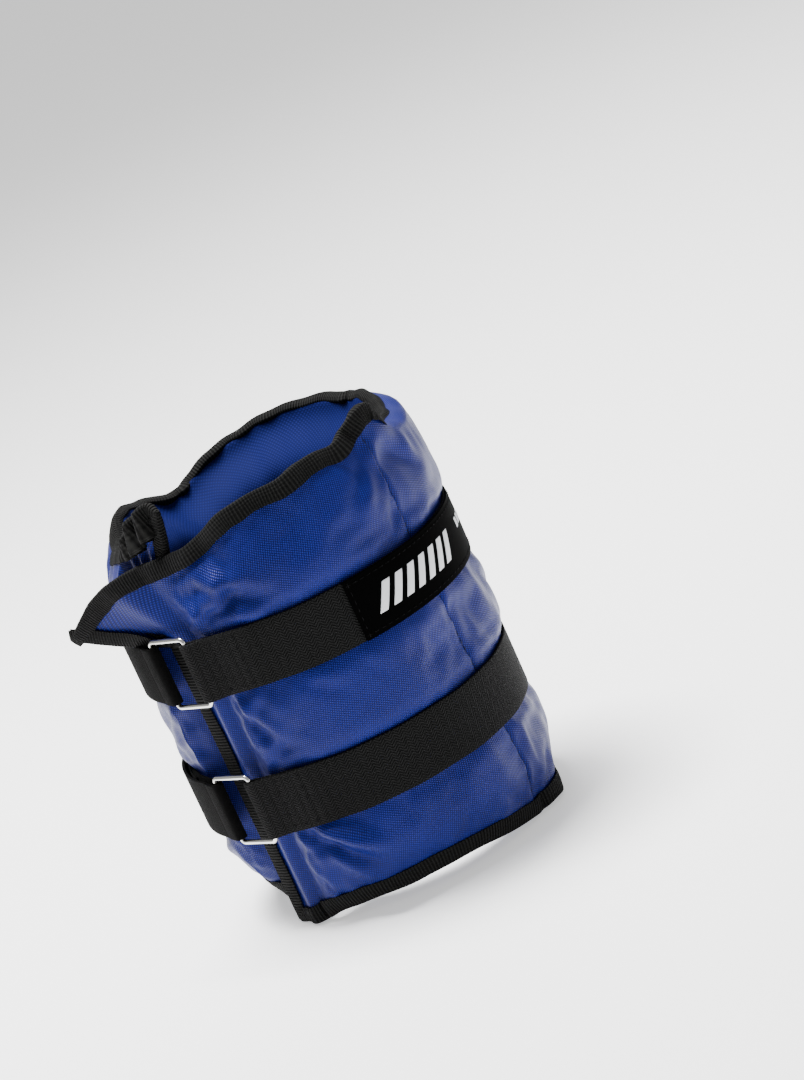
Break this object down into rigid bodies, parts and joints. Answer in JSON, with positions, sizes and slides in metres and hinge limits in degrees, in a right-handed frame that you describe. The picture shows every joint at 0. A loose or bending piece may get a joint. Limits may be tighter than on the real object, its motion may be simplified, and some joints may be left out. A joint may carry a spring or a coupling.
{
  "type": "ankle cuff weight",
  "caption": "Soft padded cuff weight with sand pockets that wraps a leg, closed by webbing straps through wire rings with hook-and-loop tails.",
  "frame": {"origin": "middle of the leg opening, on its axis, halfway between the two edge bindings", "axes": "+Z along the leg towards the knee, -Y outwards through the closure, +X towards the side the straps run to from their rings"},
  "size_m": [0.1405, 0.1425, 0.174],
  "materials": {
    "cloth": "satin woven polyester",
    "lining_cloth": "plain woven polyester, dull",
    "foam": "soft open-cell foam",
    "pouch_film": "welded film",
    "sand": "fine iron sand",
    "binding_tape": "ribbed grosgrain tape",
    "webbing": "coarse woven webbing",
    "tail_tape": "brushed loop tape",
    "hook_tape": "moulded hook tape",
    "ring_metal": "bright plated wire",
    "label_satin": "woven satin",
    "thread": "spun polyester thread"
  },
  "bodies": {
    "cuff": {"bottom_binding": "binding_tape", "foam_pad": "foam", "label": "label_satin", "lining": "lining_cloth", "lower_loop_patch": "tail_tape", "lower_strap": "webbing", "lower_tail_base": "tail_tape", "outer_panel": "cloth", "ring_end_binding": "binding_tape", "sand_fill_1": "sand", "sand_fill_2": "sand", "sand_fill_3": "sand", "sand_fill_4": "sand", "sand_pouch_1": "pouch_film", "sand_pouch_2": "pouch_film", "sand_pouch_3": "pouch_film", "sand_pouch_4": "pouch_film", "seam_stitching": "thread", "strap_stitching": "thread", "tail_end_binding": "binding_tape", "top_binding": "binding_tape", "upper_loop_patch": "tail_tape", "upper_strap": "webbing", "upper_tail_base": "tail_tape"},
    "upper_ring": {"upper_ring_wire": "ring_metal", "upper_tail_fold": "tail_tape"},
    "lower_ring": {"lower_ring_wire": "ring_metal", "lower_tail_fold": "tail_tape"},
    "upper_tail": {"upper_tail_flap": "tail_tape", "upper_hook_patch": "hook_tape"},
    "lower_tail": {"lower_tail_flap": "tail_tape", "lower_hook_patch": "hook_tape"}
  },
  "joints": [
    {"name": "upper_ring_swing", "type": "hinge", "parent": "cuff", "child": "upper_ring", "pos_m": [0.01, -0.0704, 0.03], "axis": [0, 0, 1], "range_deg": [0, 20]},
    {"name": "upper_tail_peel", "type": "hinge", "parent": "upper_ring", "child": "upper_tail", "pos_m": [-0.01734, -0.0706, 0.03], "axis": [0, 0, 1], "range_deg": [0, 110]},
    {"name": "lower_ring_swing", "type": "hinge", "parent": "cuff", "child": "lower_ring", "pos_m": [0.01, -0.0704, -0.031], "axis": [0, 0, 1], "range_deg": [0, 20]},
    {"name": "lower_tail_peel", "type": "hinge", "parent": "lower_ring", "child": "lower_tail", "pos_m": [-0.01734, -0.0706, -0.031], "axis": [0, 0, 1], "range_deg": [0, 110]}
  ]
}
